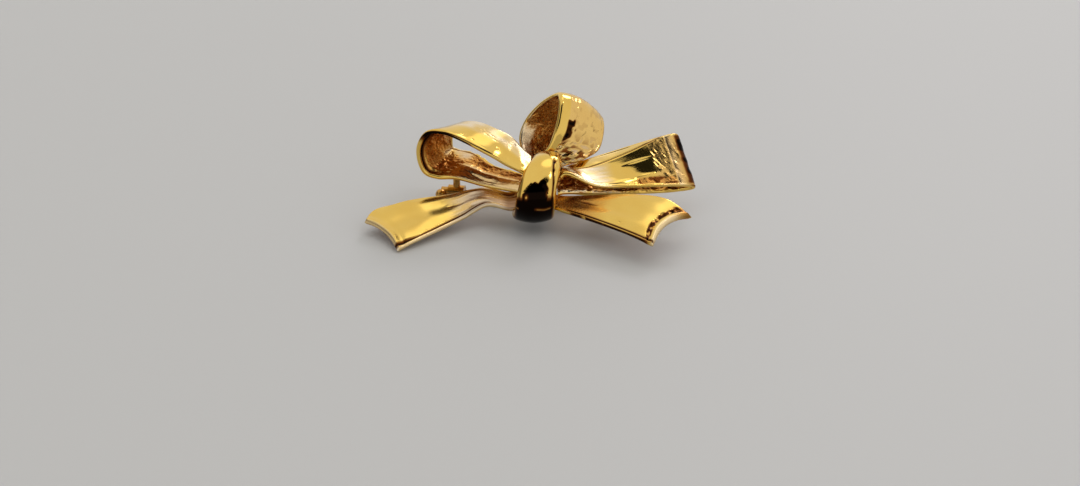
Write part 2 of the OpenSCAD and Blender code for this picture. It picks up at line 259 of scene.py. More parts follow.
# %% Make the gold
PLATE, PLATE_DEEP = "#eecb6d", "#e2b654"
SKIN, SKIN_DEEP = "#e6ae58", "#c98038"
# The brown and soot colours serve dirt and tarnish and also painted shade and dark reflections; the pale
# rubbed colour serves wear and also painted highlights
BROWN_AND_PAINTED_DARK, SOOT_AND_PAINTED_DARK, RUBBED_AND_HIGHLIGHT = "#7a4218", "#120a06", "#f0e1c8"
# One over the size of each pattern in metres: clouds of 4 mm in the plating, grain of 0.3 mm in the mould
# skin, and scratches 0.9 mm long, which the stretch makes 0.1 mm wide
CLOUDS, GRAIN, SCRATCHES = 250.0, 3000.0, 1100.0
SCRATCH_STRETCH = (1.0, 9.0, 4.0)
BUMP_HEIGHT = 0.00008


def gold_plate(name, plate, deep, shine):
    """Gold-plated brass: colour, roughness and bump mixed by three masks: mould skin, browning with painted
    dark, and wear with painted highlights.
    """
    material = bpy.data.materials.new(name)
    material.use_nodes = True
    tree = material.node_tree
    shader = tree.nodes["Principled BSDF"]
    shader.inputs["Metallic"].default_value = 1.0
    place = add(tree, "ShaderNodeTexCoord").outputs["Object"]
    mould, browning_and_painted_dark_mask, rubbed_and_highlight = (
        add(tree, "ShaderNodeAttribute", attribute_name=mask).outputs["Fac"]
        for mask in ("mould_skin", "browning_and_painted_dark", "rubbed_and_highlight"))
    stretch = add(tree, "ShaderNodeMapping", {"Vector": place, "Scale": SCRATCH_STRETCH}).outputs["Vector"]
    clouds = add(tree, "ShaderNodeTexNoise",
                 {"Vector": place, "Scale": CLOUDS, "Detail": 3.0}).outputs["Fac"]
    grain = add(tree, "ShaderNodeTexNoise",
                {"Vector": place, "Scale": GRAIN, "Detail": 4.0, "Roughness": 0.6}).outputs["Fac"]
    lines = add(tree, "ShaderNodeTexNoise",
                {"Vector": stretch, "Scale": SCRATCHES, "Detail": 2.0}).outputs["Fac"]

    # The browning mask goes from gold through orange-brown at a half to nearly black at 1, for dirt and
    # painted shade alike
    half_way = add(tree, "ShaderNodeMapRange", {"Value": browning_and_painted_dark_mask, "From Max": 0.5}).outputs["Result"]
    rest = add(tree, "ShaderNodeMapRange", {"Value": browning_and_painted_dark_mask, "From Min": 0.5}).outputs["Result"]
    metal = add(tree, "ShaderNodeMix", {"Factor": clouds, "A": colour(plate), "B": colour(deep)},
                data_type="RGBA").outputs[2]
    skin = add(tree, "ShaderNodeMix", {"Factor": grain, "A": colour(SKIN), "B": colour(SKIN_DEEP)},
               data_type="RGBA").outputs[2]
    coats = (rubbed_and_highlight, colour(RUBBED_AND_HIGHLIGHT)), (mould, skin), (half_way, colour(BROWN_AND_PAINTED_DARK)), (rest, colour(SOOT_AND_PAINTED_DARK))
    for cover, coat in coats:
        metal = add(tree, "ShaderNodeMix", {"Factor": cover, "A": metal, "B": coat},
                    data_type="RGBA").outputs[2]
    tree.links.new(metal, shader.inputs["Base Color"])

    # Polished plate, a little cloudier here and there, scuffed where the mask of wear and painted
    # highlights is high, and duller skin
    gloss = add(tree, "ShaderNodeMapRange", {"Value": clouds, "From Min": 0.3, "From Max": 0.7,
                                             "To Min": shine, "To Max": shine + 0.06}).outputs["Result"]
    dull = add(tree, "ShaderNodeMapRange",
               {"Value": grain, "To Min": 0.16, "To Max": 0.4}).outputs["Result"]
    scuffed = add(tree, "ShaderNodeMath",
                  {0: rubbed_and_highlight, 1: 0.16, 2: gloss}, operation="MULTIPLY_ADD").outputs[0]
    rough = add(tree, "ShaderNodeMix", {"Factor": mould, "A": scuffed, "B": dull}).outputs["Result"]
    tree.links.new(rough, shader.inputs["Roughness"])

    # Fine scratches, deeper where the mask of wear and painted highlights is high, and the grain of the
    # mould skin
    depth = add(tree, "ShaderNodeMath", {0: rubbed_and_highlight, 1: 0.25, 2: 0.05}, operation="MULTIPLY_ADD").outputs[0]
    fine = add(tree, "ShaderNodeMath", {0: lines, 1: depth}, operation="MULTIPLY").outputs[0]
    both = add(tree, "ShaderNodeMath", {0: grain, 1: mould, 2: fine}, operation="MULTIPLY_ADD").outputs[0]
    bump = add(tree, "ShaderNodeBump", {"Height": both, "Strength": 0.8, "Distance": BUMP_HEIGHT})
    tree.links.new(bump.outputs["Normal"], shader.inputs["Normal"])
    return material


# Bright plate mirrors the tent sharply, so it shows hard edges between light and dark
gold = gold_plate("gold_plate", PLATE, PLATE_DEEP, 0.06)
# Satin plate spreads what it mirrors, so the tails look soft and even
satin_gold = gold_plate("satin_gold_plate", PLATE, PLATE_DEEP, 0.17)
# Handled plate is browner and duller, so the catch and the pin stay quiet
worn_gold = gold_plate("worn_gold_plate", "#dcae62", "#b07c34", 0.16)
print("finishes:", ", ".join(m.name for m in (gold, satin_gold, worn_gold)))

# %% [markdown]
# ## Sizes
#
# The solids were drawn from a few lengths and from tables of stations along each ribbon. The same numbers
# stand here again, in millimetres and shares rounded to hundredths, so that the fine skins lie where the
# solids do.

# %% Sizes of the brooch in millimetres
RIBBON_T, ROOT_W = 0.9, 4.4
MOUTH_W = 1.1 * ROOT_W
KNOT_L, KNOT_H, KNOT_W, KNOT_T, KNOT_BULGE, KNOT_LEAN = 10.2, 8.2, 7.4, 1.4, 0.9, 25
KNOT_ROUND = 2.2
KNOT = np.array([1.2, 0.6, 7.0])
LEFT_LOOP_SIZE = (15, 6.3, 7.8, 8.4)
RIGHT_LOOP_SIZE = (21.9, 5.2, 2.2, 10.4)
BACK_LOOP_W, BACK_LOOP_SET, BACK_LOOP_RISE = 9.6, 11, 7.7
LEFT_TAIL_SIZE = (22.4, -6.8, -3.85, 9.8)
RIGHT_TAIL_SIZE = (18, -9.5, 1.1, 9.8)
BACK_ROOT = (0.55, 0.63)
TAIL_FOLD, TAIL_CUT = 0.1, 1.4
LEFT_LIP, RIGHT_LIP = 0.5, 0.55
print("the right loop reaches %.1f mm, the left one %.1f mm" % (RIGHT_LOOP_SIZE[0], LEFT_LOOP_SIZE[0]))

# %% [markdown]
# Each ribbon starts inside the knot (tucked), leaves it (mouth), and runs on through its stations. A
# station holds shares of the ribbon's own reach, set and rise, then its width, the yaw and pitch of the
# line across it, and how far its middle domes.

# %% Stations along each ribbon
LEFT_LOW = [(0.70, 0.24, -0.05, -12, 16), (1.35, 0.39, 0.02, -18, 18)]
LEFT_HIGH = [(0.38, 0.40, 0.70, -4, 40), (0.85, 0.50, 0.98, -6, 38)]
LEFT_TAIL = [(0.70, -0.11, -0.42, 0, 12), (1.35, -0.27, -0.55, 5, 12)]
RIGHT_LOW = [(0.90, 0.26, -0.15, 5, 17), (1.35, 0.37, -0.07, 8, 25)]
RIGHT_HIGH = [(1.02, 0.28, 0.43, 5, -8), (1.35, 0.36, 0.52, 8, -12)]
RIGHT_TAIL = [(0.70, -0.27, -0.54, 0, 3), (1.35, -0.50, -0.56, -5, 7)]
LEFT_LOOP_TABLE = [
    (0.26, 0.29, 0.02, 0.63, -24, 20, 0), (0.53, 0.67, 0.11, 0.88, -26, 15, 0),
    (0.76, 0.89, 0.09, 1, -28, 16, 0), (0.88, 0.95, 0.19, 1.06, -36, 10, 0),
    (0.91, 0.98, 0.55, 1.09, -40, -8, 0), (0.84, 0.95, 0.87, 1.02, -34, -18, 0),
    (0.68, 0.84, 1.01, 0.96, -22, -11, 0.02), (0.46, 0.59, 1, 0.86, -16, 5, 0.03),
    (0.20, 0.29, 0.86, 0.74, -12, 24, 0.03), (0.02, 0.19, 0.69, 0.72, -9, 34, 0.02),
]
RIGHT_LOOP_TABLE = [
    (0.21, 0.23, 0.14, 0.62, 14, 34, 0), (0.47, 0.52, 0.27, 0.79, 20, 40, 0),
    (0.73, 0.81, 0.36, 0.91, 26, 46, 0), (0.92, 1, 0.55, 0.98, 28, 49, 0), (0.98, 0.94, 0.86, 1, 29, 50, 0),
    (0.93, 0.81, 1.14, 0.98, 28, 49, 0), (0.73, 0.58, 1.11, 0.87, 26, 45, 0.01),
    (0.47, 0.29, 0.99, 0.74, 20, 38, 0.02), (0.21, -0.01, 0.94, 0.60, 14, 28, 0.02),
]
BACK_LOOP_TABLE = [
    (0.10, 0, -0.01, 0.43, 80, 12, 0), (0.50, 0.12, 0.26, 0.70, 91, 19, 0),
    (0.70, 0.24, 0.46, 0.94, 99, 27, 0.02), (0.79, 0.40, 0.74, 1.04, 105, 33, 0.05),
    (0.81, 0.58, 0.99, 1.07, 105, 36, 0.10), (0.75, 0.80, 0.99, 1.04, 101, 35, 0.12),
    (0.46, 0.96, 0.68, 1, 95, 32, 0.06), (0.17, 1, 0.26, 0.94, 90, 29, 0),
    (0.02, 0.87, -0.10, 0.85, 88, 26, 0), (0.06, 0.60, -0.36, 0.69, 86, 20, 0),
    (0.08, 0.27, -0.43, 0.50, 85, 10, 0), (0.08, 0, -0.43, 0.42, 85, 8, 0),
]
LEFT_TAIL_TABLE = [
    (0.20, -0.24, -0.02, 0.51, 10, 13, 0, 1, 0.80), (0.42, -0.14, 0.42, 0.68, 22, 12, 0, 1, 1),
    (0.67, 0.16, 0.61, 0.98, 32, 10, -0.01, 1, 0.80), (0.90, 0.59, 0.72, 1.16, 40, 10, -0.02, 1, 0.40),
    (1, 0.97, 0.91, 1, 41, 10, -0.02, 1.30, 0),
]
RIGHT_TAIL_TABLE = [
    (0.25, 0.21, 0.50, 0.74, -18, 8, 0, 1, -1), (0.53, 0.46, 1, 0.92, -32, 16, 0.01, 1, -1),
    (0.79, 0.72, 0.97, 1.07, -42, 17, 0.02, 1, -0.50), (1, 1, -0.25, 1.02, -46, 11, 0.02, 1.50, 0),
]
# The knot's band: angle round the knot, then width and shift along the bow as shares of its widest width
KNOT_TABLE = [
    (42, 0.70, 0.23), (65, 0.73, 0.19), (90, 0.86, 0.09), (125, 0.91, -0.01), (160, 0.95, -0.06),
    (195, 0.97, -0.09), (230, 1, -0.12), (265, 0.86, -0.07), (285, 0.78, 0), (302, 0.76, 0.03),
]
print("stations:", len(LEFT_LOOP_TABLE), len(RIGHT_LOOP_TABLE), len(BACK_LOOP_TABLE), "in the loops,",
      len(LEFT_TAIL_TABLE), len(RIGHT_TAIL_TABLE), "in the tails,", len(KNOT_TABLE), "in the knot")

# %% [markdown]
# ## From stations to rows
#
# A row is a station in millimetres: x, y, z, width, yaw, pitch, dome, thickness and fold. All ribbons
# share these columns, so one sweep makes them all.


# %% Turn the tables into rows
def row(place, width, yaw, pitch, dome=0.0, thick=RIBBON_T, fold=0.0):
    return [*place, width, yaw, pitch, dome, thick, fold]


def gathered(side, g):
    """A point given as shares of half the knot's width, long diameter and short diameter."""
    return KNOT + np.array([side * g[0] * KNOT_W, g[1] * KNOT_L, g[2] * KNOT_H]) / 2


def arm(side, mouth, size, table):
    """The rows of a side ribbon outside the knot: each station's shares times the ribbon's size, from its
    mouth. size is reach, set, rise and width, and side is -1 on the left and 1 on the right."""
    rows = []
    for r in table:
        place = gathered(side, mouth) + np.array([side * r[0] * size[0], r[1] * size[1], r[2] * size[2]])
        thick, fold = (r[7], r[8]) if len(r) > 7 else (1, 0)
        width, dome = r[3] * size[3], r[6] * size[3]
        rows.append(row(place, width, r[4], r[5], dome, RIBBON_T * thick, fold * TAIL_FOLD))
    return rows


def ends(side, g):
    """The two rows of a gathered end: tucked inside the knot, and at its mouth."""
    return [row(gathered(side, g[0]), ROOT_W, *g[0][3:]), row(gathered(side, g[1]), MOUTH_W, *g[1][3:])]


def knot_point(angle, shift):
    """A point on the knot's ring, a rounded oval that leans: cosine and sine are raised to the power 2/2.2,
    which keeps the oval a little square."""
    c, s = math.cos(math.radians(angle)), math.sin(math.radians(angle))
    p = KNOT_L / 2 * math.copysign(abs(c) ** (2 / KNOT_ROUND), c)
    q = KNOT_H / 2 * math.copysign(abs(s) ** (2 / KNOT_ROUND), s)
    cos_lean, sin_lean = math.cos(math.radians(KNOT_LEAN)), math.sin(math.radians(KNOT_LEAN))
    return KNOT + np.array([shift, p * cos_lean - q * sin_lean, p * sin_lean + q * cos_lean])


# %% Work out every ribbon's rows
back_root = KNOT + np.array([0, BACK_ROOT[0] * KNOT_L / 2, BACK_ROOT[1] * KNOT_H / 2])
left_loop_rows = np.array(ends(-1, LEFT_LOW) + arm(-1, LEFT_LOW[1], LEFT_LOOP_SIZE, LEFT_LOOP_TABLE)
                          + ends(-1, LEFT_HIGH)[::-1], float)
right_loop_rows = np.array(ends(1, RIGHT_LOW) + arm(1, RIGHT_LOW[1], RIGHT_LOOP_SIZE, RIGHT_LOOP_TABLE)
                           + ends(1, RIGHT_HIGH)[::-1], float)
left_tail_rows = np.array(
    ends(-1, LEFT_TAIL) + arm(-1, LEFT_TAIL[1], LEFT_TAIL_SIZE, LEFT_TAIL_TABLE), float)
right_tail_rows = np.array(
    ends(1, RIGHT_TAIL) + arm(1, RIGHT_TAIL[1], RIGHT_TAIL_SIZE, RIGHT_TAIL_TABLE), float)
back_loop_rows = np.array([
    row(back_root + np.array([r[0] * BACK_LOOP_W, r[1] * BACK_LOOP_SET, r[2] * BACK_LOOP_RISE]),
        r[3] * BACK_LOOP_W, r[4], r[5], r[6] * BACK_LOOP_W) for r in BACK_LOOP_TABLE], float)
knot_rows = np.array([
    row(knot_point(angle, shift * KNOT_W), width * KNOT_W, 90, 0, -KNOT_BULGE, KNOT_T)
    for angle, width, shift in KNOT_TABLE], float)
print("the left loop leaves the knot at", np.round(left_loop_rows[1, :3], 1), "mm")

# %% [markdown]
# ## The sweep
#
# Between two rows every column follows a Catmull-Rom curve, which passes through the rows and bends
# evenly. At each station the ribbon has three directions: along it (heading), across it, and out of its
# face.


# %% Sweep a ribbon through its rows
def smooth_rows(rows, s):
    """Columns at stations s on a Catmull-Rom curve through rows a, b, c and d, with t from 0 at b to 1 at
    c: half of 2b + (c-a)t + (2a-5b+4c-d)t^2 + (3b-a-3c+d)t^3."""
    last = len(rows) - 1
    i = np.clip(np.floor(s).astype(int), 0, last - 1)
    t = (s - i)[..., None]
    a, b = rows[np.maximum(i - 1, 0)], rows[i]
    c, d = rows[i + 1], rows[np.minimum(i + 2, last)]
    return 0.5 * (2 * b + (c - a) * t + (2 * a - 5 * b + 4 * c - d) * t**2 + (3 * b - a - 3 * c + d) * t**3)


def unit(v):
    return v / np.linalg.norm(v, axis=-1, keepdims=True)


def directions(rows, s):
    """Row, across and facing at stations s. Facing is square to the line across and to the ribbon's
    heading, which comes from the middle line a tenth of a station ahead and behind."""
    last = len(rows) - 1
    r = smooth_rows(rows, s)
    yaw, pitch = np.radians(r[..., 4]), np.radians(r[..., 5])
    across = np.stack([np.sin(yaw) * np.cos(pitch), -np.cos(yaw) * np.cos(pitch), -np.sin(pitch)], -1)
    ahead = smooth_rows(rows, np.minimum(s + 0.1, last))[..., :3]
    behind = smooth_rows(rows, np.maximum(s - 0.1, 0))[..., :3]
    return r, across, unit(np.cross(across, unit(ahead - behind)))


# %% [markdown]
# ## Rough nature
#
# No part of a casting is quite even. `bumps` gives smooth random hills on a lattice, `ridges` folds them
# into sharp crests like wrinkled metal, and `mould_relief` adds three sizes of bump for the skin that the
# mould left. `dents` presses single creases, scratches and pits where the photograph shows them.


# %% Random relief that is the same on every run
LATTICE = 61


def bumps(u, v, seed):
    """Random heights from -1 to 1 on a lattice, joined by the smooth step 3t^2 - 2t^3 both ways."""
    heights = np.random.default_rng(seed).uniform(-1, 1, (LATTICE, LATTICE))
    i, j = np.floor(u).astype(int), np.floor(v).astype(int)
    p, q = (u - i) ** 2 * (3 - 2 * (u - i)), (v - j) ** 2 * (3 - 2 * (v - j))
    i, j, next_i, next_j = i % LATTICE, j % LATTICE, (i + 1) % LATTICE, (j + 1) % LATTICE
    near = heights[i, j] * (1 - p) + heights[next_i, j] * p
    far = heights[i, next_j] * (1 - p) + heights[next_i, next_j] * p
    return near * (1 - q) + far * q


def ridges(u, v, seed):
    """Crests where the random hills pass through zero: 1 at the crest, falling on both sides."""
    return 1 - np.abs(bumps(u, v, seed) + 0.5 * bumps(2.1 * u, 2.1 * v, seed + 1)) * 1.6


def mould_relief(u, v, seed):
    """The mould's skin in millimetres: lumps 1.3 mm apart, grains 0.6 mm apart and a fine tooth."""
    return 0.08 * bumps(u / 1.3, v / 1.1, seed) + 0.05 * ridges(u / 0.9, v / 0.7, seed + 3) \
        + 0.02 * bumps(u / 0.3, v / 0.28, seed + 5)


# %% Steps, bands and dents
def step(value, low, high):
    """A smooth step from 0 at low to 1 at high."""
    t = np.clip((value - low) / (high - low), 0, 1)
    return t * t * (3 - 2 * t)


def between(value, low, high, soft):
    """1 between low and high, and 0 outside, with edges as wide as soft."""
    return step(value, low - soft / 2, low + soft / 2) * (1 - step(value, high - soft / 2, high + soft / 2))


def band(value, middle, width):
    """A ridge: exp(-d^2), where d is the distance from the middle over the width."""
    return np.exp(-(((value - middle) / width) ** 2))


def dents(p, places):
    """Creases and pits in millimetres. Each is along, across, depth, its half length and half width, and
    how much it moves across for each millimetre along. A depth below 0 makes it stand out."""
    total = 0.0
    for along, across, depth, long_half, wide_half, lean in places:
        ahead = p.along - along
        aside = p.across - across - lean * ahead
        total = total - depth * band(ahead, 0, long_half) * band(aside, 0, wide_half)
    return total


print("relief of the mould's skin at one spot: %.3f mm" % mould_relief(np.array(3.2), np.array(1.4), 11))


# %% [markdown]
# ## A skin from a sweep
#
# A skin is a grid: one ring of the section for each step along the ribbon. A piece's own function says
# how far each point rises out of the plain ribbon, and gives three masks: mould skin, browning with painted
# dark, and wear with painted highlights.
# The rings of a tail lie closer at its end, where the section shrinks along a quarter circle, so that the
# cut of a tail is a rounded lip. The points of the section lie closer near its edges, where the rims and
# grooves are.
#
# That function gets the place p of every point: the station p.s, then p.x from -1 to 1 across (1 is the
# front edge), and p.side from 1 on the face that shows outside, or on top, to -1 on the other. The rest
# is in millimetres: p.along from the start, p.left to the end, p.length in all, p.across from the middle
# line, and p.edge from the nearer edge.


# %% Lay out a skin's grid
RING_STEP = 0.14
FACE_POINTS, EDGE_POINTS = 80, 7
PROBES, LIP_RINGS = 60, 7


def section(face_points, edge_points):
    """Points round a ribbon's section: share f along the flat part, edge sign e, and the edge's half circle
    as its cosine and sine. The order is round the left edge, over the face, round the right edge, and back
    below. The share is half an even step and half its sine, which crowds the points towards the edges."""
    quarter = np.radians(np.linspace(0, 90, edge_points + 1))
    even = np.linspace(-1, 1, face_points)[1:-1]
    face = (even + np.sin(np.pi / 2 * even)) / 2
    left = [(-1, -1, math.cos(a), math.sin(a)) for a in quarter]
    upper = left + [(f, 0, 0, 1) for f in face] + [(1, 1, math.cos(a), math.sin(a)) for a in quarter[::-1]]
    lower = [(f, e, c, -s) for f, e, c, s in upper[::-1][1:-1]]
    return np.array(upper + lower, float).T


def stations_along(rows, lip):
    """Distance along the middle line, and the station there, for every ring: even steps, then seven rings
    over the last stretch, lip millimetres long, at sines of even angles."""
    last = len(rows) - 1
    fine = np.linspace(0, last, PROBES * last + 1)
    probe = smooth_rows(rows, fine)[:, :3]
    run = np.concatenate([[0], np.cumsum(np.linalg.norm(np.diff(probe, axis=0), axis=1))])
    body = np.linspace(0, run[-1] - lip, int((run[-1] - lip) / RING_STEP) + 1)
    tip = run[-1] - lip + lip * np.sin(np.radians(np.linspace(0, 90, LIP_RINGS + 1)[1:])) if lip else []
    along = np.concatenate([body, tip])
    return along, np.interp(along, run, fine), run[-1]


# %% Build a skin
def skin(name, rows, show, relief, cut=0.0, lip=0.0):
    """A closed ribbon. show is 1 where the ribbon's facing side is the one on view, and -1 where it is the
    other. cut is how many stations the middle of its end is drawn back, and lip how long its round end is.
    A point is: middle line + across * x * width/2
    + facing * (dome * (1 - x^2) + fold * cos(360 x) + y * thick/2),
    and then the relief along the section's own outward direction."""
    last = len(rows) - 1
    along, station, length = stations_along(rows, lip)
    f, e, c, y = (a[None, :] for a in section(FACE_POINTS, EDGE_POINTS))
    base = smooth_rows(rows, station)
    ratio = (base[:, 7] / base[:, 3])[:, None]
    x = f * (1 - ratio) + e * ratio * c
    s = station[:, None] * (1 - cut * (1 - x**2) / last)
    r, across, facing = directions(rows, s)
    half = r[..., 3] / 2
    past = np.clip((along - (length - lip)) / lip, 0, 0.998)[:, None] if lip else np.zeros((len(along), 1))
    thick = r[..., 7] / 2 * np.sqrt(1 - past**2)
    out_face = r[..., 6] * (1 - x**2) + r[..., 8] * np.cos(2 * np.pi * x) + y * thick
    run = along[:, None] + 0 * x
    place = SimpleNamespace(s=s, x=x, side=show * y + 0 * x, along=run, length=length, left=length - run,
                            across=x * half, edge=(1 - np.abs(x)) * half)
    height, *masks = (a + 0 * x for a in relief(place))
    height = height * np.sqrt(1 - past**2)
    outward = across * (e * c)[..., None] + facing * (y + 0 * x)[..., None]
    plain = r[..., :3] + across * (x * half)[..., None] + facing * out_face[..., None]
    return sheet_mesh(name, plain + outward * height[..., None], masks)


def sheet_mesh(name, points, masks):
    """A mesh from a grid of rings, with its three masks as point attributes. Each end is closed by a strip
    of faces that joins point n of the ring's upper side to the point below it."""
    rings, ring = points.shape[:2]
    i, j = np.meshgrid(np.arange(rings - 1), np.arange(ring), indexing="ij")
    k = (j + 1) % ring
    quads = np.stack([i * ring + j, i * ring + k, (i + 1) * ring + k, (i + 1) * ring + j], -1)
    quads = quads.reshape(-1, 4)
    top = ring // 2
    cap = [[0, 1, ring - 1]] + [[n, n + 1, ring - n - 1, ring - n] for n in range(1, top - 1)] \
        + [[top - 1, top, top + 1]]
    start = [face[::-1] for face in cap]
    end = [[(rings - 1) * ring + n for n in face] for face in cap]
    mesh = bpy.data.meshes.new(name)
    mesh.from_pydata((points.reshape(-1, 3) * MM).tolist(), [], quads.tolist() + start + end)
    for attribute, values in zip(("mould_skin", "browning_and_painted_dark", "rubbed_and_highlight"), masks):
        layer = mesh.attributes.new(attribute, "FLOAT", "POINT")
        layer.data.foreach_set("value", np.clip(values, 0, 1).astype(np.float32).ravel())
    mesh.shade_smooth()
    made = bpy.data.objects.new(name, mesh)
    bpy.context.scene.collection.objects.link(made)
    a, b, c, d = (points.reshape(-1, 3)[quads[:, n]] for n in range(4))
    volume = (np.einsum("ij,ij->i", a, np.cross(b, c)) + np.einsum("ij,ij->i", a, np.cross(c, d))).sum() / 6
    print("%s: %d faces, about %.0f cubic millimetres" % (name, len(quads), volume))
    return made


def dress(piece, node, material):
    """The piece stands for a solid, wears a material, and moves with the brooch."""
    piece.data.materials.append(material)
    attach(piece, "brooch")
    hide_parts(node)


# %% [markdown]
# ## Left loop
#
# The left loop is open like an eye. Its front rim is a round bright bead. At the left end and under the
# top a deep groove runs behind the bead; it and a crescent under the top rim are painted dark as shade.
# Further in, the metal is rough and brown, but for a patch on the far edge that is rubbed bright and also
# painted paler as light, and a golden strip behind the lower rim, painted paler as light. The far edge of
# the lower layer is ragged. The outside is smooth, with a few fine scratches where it humps, and a pale
# streak along its far half is a painted highlight.


# %% Left loop
def left_loop_relief(p):
    inside, outside = step(-p.side, 0.3, 0.95), step(p.side, 0.3, 0.95)
    front = step(p.x, 0, 0.3)
    within = step(p.edge, 0.35, 0.8)
    end = between(p.along, 16.5, 31, 2.5)
    wide = 0.34 + 0.4 * step(p.along, 18, 24)
    groove = band(p.edge, 0.75 + wide, wide) * front * end
    ledge = between(p.edge, 1.5, 2.1, 0.4) * front * between(p.along, 13, 20, 2)
    strip = step(p.x, -0.3, 0.15) * (1 - step(p.along, 10.5, 14))
    far = step(-p.x, 0.15, 0.6) * between(p.along, 11.5, 18.5, 2)
    roots = (1 - step(np.minimum(p.along, p.length - p.along), 3.0, 6.5)) * (1 - strip)
    rough = 1.3 * mould_relief(p.along, p.across, 11) * within * (1 - 0.75 * np.maximum(strip, far))
    pleats = 0.04 * bumps(p.along / 2.8, p.across / 0.55, 17) * strip
    ragged = 0.16 * bumps(p.along / 0.55, p.across / 2, 19) \
        * step(-p.x, 0.86, 1) * between(p.along, 3, 13, 2)
    hollow = -0.35 * groove + 0.06 * ledge - 0.1 * within * (1 - strip)
    shelf = (0.2 - 0.42 * step(p.x, 0.05, 0.95)) * strip * step(p.edge, 0.1, 0.4)
    # Painted shade: a dark crescent inside, under the top rim at the left end
    painted_shade_crescent = front * (1 - step(p.side, 0.25, 0.5)) * (1 - step(p.edge, 0.8, 1.2)) \
        * between(p.along, 22, 30.5, 1.5)
    roll = 0.05 * bumps(p.along / 5.5, p.across / 3.2, 21) \
        + 0.012 * bumps(p.along / 1.4, p.across / 1.1, 23)
    top_line = -0.015 * band(p.edge, 0.7, 0.14) * front * step(p.along, 25, 29)
    scars = dents(p, [
        (31.6, -0.85, 0.08, 0.5, 0.12, 0.1), (32.6, -0.45, 0.09, 0.6, 0.12, 0.1),
        (32.4, -1.25, 0.08, 0.7, 0.12, 0.1), (33.6, -0.8, 0.09, 0.6, 0.12, 0.1),
        (34.2, -0.2, 0.08, 0.5, 0.12, 0.1), (30.6, 2.3, 0.12, 0.17, 0.16, 0),
        (35.0, 1.2, 0.05, 0.15, 0.14, 0), (38.3, -1.8, 0.09, 0.14, 0.14, 0),
        (40.2, 0.9, 0.06, 0.16, 0.14, 0)])
    height = inside * (hollow + shelf + rough + pleats) + outside * (roll + scars + top_line) + ragged
    patches = 0.5 + 0.5 * bumps(p.along / 2.2, p.across / 1.6, 25)
    mould = inside * within * (1 - 0.75 * far - 0.75 * strip - 0.5 * ledge)
    brown_and_painted_dark = inside * within * (0.2 * patches + 0.2 * roots - 0.5 * far - 0.6 * strip - 0.3 * ledge)
    # Painted highlight: a pale streak along the far half of the outside
    painted_highlight_streak = (1 - step(p.x, -0.45, 0.2)) * between(p.along, 22, 43, 4)
    cloudy = 0.6 + 0.4 * bumps(p.along / 1.6, p.across / 0.9, 27)
    # Pale colour: the painted highlight streak outside, a patch inside on the far edge that is rubbed and
    # painted paler, and the golden strip painted paler as light
    pale_and_highlight = cloudy * (outside * painted_highlight_streak + 0.9 * inside * far) + 0.45 * inside * strip * (1 - roots)
    # The groove behind the bead is painted dark as shade, as is the crescent
    return height, mould, brown_and_painted_dark + np.maximum(inside * groove, painted_shade_crescent), pale_and_highlight


left_loop = skin("left_loop_skin", left_loop_rows, 1, left_loop_relief)
dress(left_loop, "left_loop", gold)

# %% [markdown]
# ## Right loop
#
# The right loop is pressed nearly flat, and its top layer is rolled towards the viewer. A crease runs
# slantwise along its far side, and the strip beyond it tips away. The top is smooth near the knot.
# Further out it breaks up into wrinkles, and the fold at the end is brown in spots. In the slit along the
# front the lower layer shows its mould skin in lumps. The crease is painted as a dark line of shade; the
# smooth top near the knot has a painted highlight; the strip beyond the crease, the wrinkles and the lumps
# in the slit are painted paler as light.


